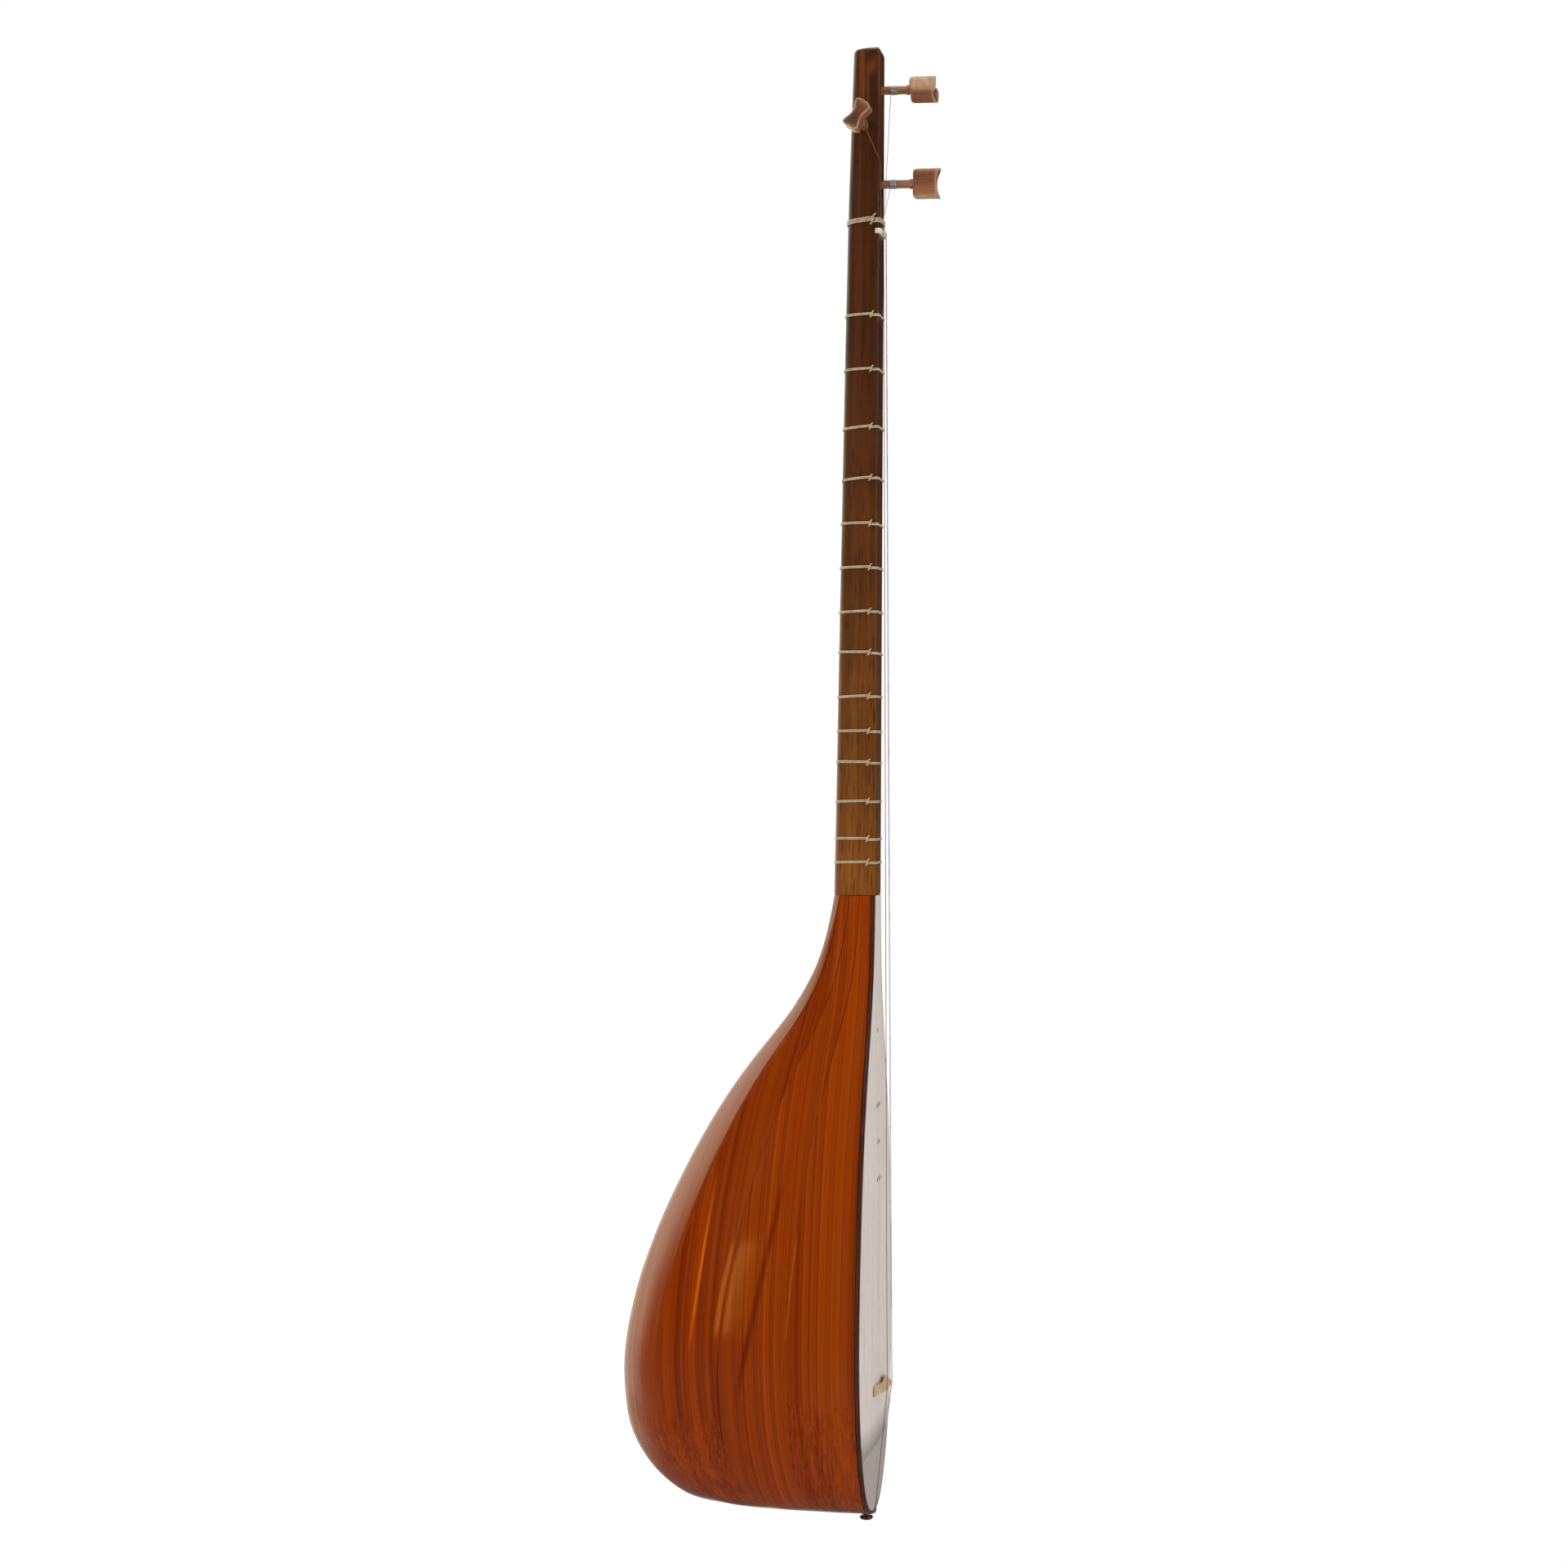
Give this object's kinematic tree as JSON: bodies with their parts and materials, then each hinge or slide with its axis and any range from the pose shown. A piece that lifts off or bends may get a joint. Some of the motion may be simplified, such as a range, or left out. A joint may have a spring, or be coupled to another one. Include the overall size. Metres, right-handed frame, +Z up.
{
  "type": "tanbur",
  "caption": "Long-necked plucked lute with a pear-shaped staved bowl, a thin soundboard, tied gut frets, wooden pegs at the front and side of the head, a low bridge and a tail button.",
  "frame": {"origin": "point on the centre line of the neck's front face, just under the lowest front peg, where a hanging loop round the neck catches", "axes": "+Z up along the neck towards the head, -Y out of the soundboard, -X towards the bass side, where the side peg is"},
  "size_m": [0.165, 0.1914, 0.9015],
  "materials": {
    "bowl_wood": "glossy lacquer over mulberry staves",
    "neck_wood": "glossy lacquer over dark stained walnut",
    "board_wood": "satin, bare pale mulberry",
    "binding_wood": "glossy dark strip",
    "block_wood": "raw sawn wood",
    "button_wood": "polished dark wood",
    "nut_bone": "polished bone",
    "fret_gut": "dry twisted gut",
    "bridge_wood": "satin pale wood",
    "peg_wood": "satin pinkish brown wood",
    "treble_steel": "plain drawn wire",
    "bass_bronze": "wound wire"
  },
  "bodies": {
    "body": {"neck": "neck_wood", "rib_1": "bowl_wood", "rib_2": "bowl_wood", "rib_3": "bowl_wood", "rib_4": "bowl_wood", "rib_5": "bowl_wood", "rib_6": "bowl_wood", "rib_7": "bowl_wood", "rib_8": "bowl_wood", "rib_9": "bowl_wood", "neck_block": "block_wood", "end_block": "block_wood", "soundboard": "board_wood", "edge_binding": "binding_wood", "tail_button": "button_wood", "nut": "nut_bone", "nut_tie": "fret_gut", "string_bass": "bass_bronze", "string_treble_1": "treble_steel", "string_treble_2": "treble_steel"},
    "peg_upper": {"peg_upper": "peg_wood", "winding_upper": "treble_steel"},
    "peg_lower": {"peg_lower": "peg_wood", "winding_lower": "treble_steel"},
    "peg_side": {"peg_side": "peg_wood", "winding_side": "bass_bronze"},
    "bridge": {"bridge": "bridge_wood"},
    "fret_01": {"fret_01": "fret_gut"},
    "fret_02": {"fret_02": "fret_gut"},
    "fret_03": {"fret_03": "fret_gut"},
    "fret_04": {"fret_04": "fret_gut"},
    "fret_05": {"fret_05": "fret_gut"},
    "fret_06": {"fret_06": "fret_gut"},
    "fret_07": {"fret_07": "fret_gut"},
    "fret_08": {"fret_08": "fret_gut"},
    "fret_09": {"fret_09": "fret_gut"},
    "fret_10": {"fret_10": "fret_gut"},
    "fret_11": {"fret_11": "fret_gut"},
    "fret_12": {"fret_12": "fret_gut"},
    "fret_13": {"fret_13": "fret_gut"},
    "fret_14": {"fret_14": "fret_gut"}
  },
  "joints": [
    {"name": "peg_upper_turn", "type": "hinge", "parent": "body", "child": "peg_upper", "pos_m": [0, 0, 0.06415], "axis": [0, -1, 0], "continuous": true},
    {"name": "peg_lower_turn", "type": "hinge", "parent": "body", "child": "peg_lower", "pos_m": [0, 0, 0.00655], "axis": [0, -1, 0], "continuous": true},
    {"name": "peg_side_turn", "type": "hinge", "parent": "body", "child": "peg_side", "pos_m": [-0.0126, 0.0092, 0.04045], "axis": [-1, 0, 0], "continuous": true},
    {"name": "bridge_slide", "type": "slide", "parent": "body", "child": "bridge", "axis": [0, 0, 1], "range_m": [0, 0.01]},
    {"name": "fret_01_slide", "type": "slide", "parent": "body", "child": "fret_01", "axis": [0, 0, 1], "range_m": [-0.003, 0.003]},
    {"name": "fret_02_slide", "type": "slide", "parent": "body", "child": "fret_02", "axis": [0, 0, 1], "range_m": [-0.003, 0.003]},
    {"name": "fret_03_slide", "type": "slide", "parent": "body", "child": "fret_03", "axis": [0, 0, 1], "range_m": [-0.003, 0.003]},
    {"name": "fret_04_slide", "type": "slide", "parent": "body", "child": "fret_04", "axis": [0, 0, 1], "range_m": [-0.003, 0.003]},
    {"name": "fret_05_slide", "type": "slide", "parent": "body", "child": "fret_05", "axis": [0, 0, 1], "range_m": [-0.003, 0.003]},
    {"name": "fret_06_slide", "type": "slide", "parent": "body", "child": "fret_06", "axis": [0, 0, 1], "range_m": [-0.003, 0.003]},
    {"name": "fret_07_slide", "type": "slide", "parent": "body", "child": "fret_07", "axis": [0, 0, 1], "range_m": [-0.003, 0.003]},
    {"name": "fret_08_slide", "type": "slide", "parent": "body", "child": "fret_08", "axis": [0, 0, 1], "range_m": [-0.003, 0.003]},
    {"name": "fret_09_slide", "type": "slide", "parent": "body", "child": "fret_09", "axis": [0, 0, 1], "range_m": [-0.003, 0.003]},
    {"name": "fret_10_slide", "type": "slide", "parent": "body", "child": "fret_10", "axis": [0, 0, 1], "range_m": [-0.003, 0.003]},
    {"name": "fret_11_slide", "type": "slide", "parent": "body", "child": "fret_11", "axis": [0, 0, 1], "range_m": [-0.003, 0.003]},
    {"name": "fret_12_slide", "type": "slide", "parent": "body", "child": "fret_12", "axis": [0, 0, 1], "range_m": [-0.003, 0.003]},
    {"name": "fret_13_slide", "type": "slide", "parent": "body", "child": "fret_13", "axis": [0, 0, 1], "range_m": [-0.003, 0.003]},
    {"name": "fret_14_slide", "type": "slide", "parent": "body", "child": "fret_14", "axis": [0, 0, 1], "range_m": [-0.003, 0.003]}
  ]
}
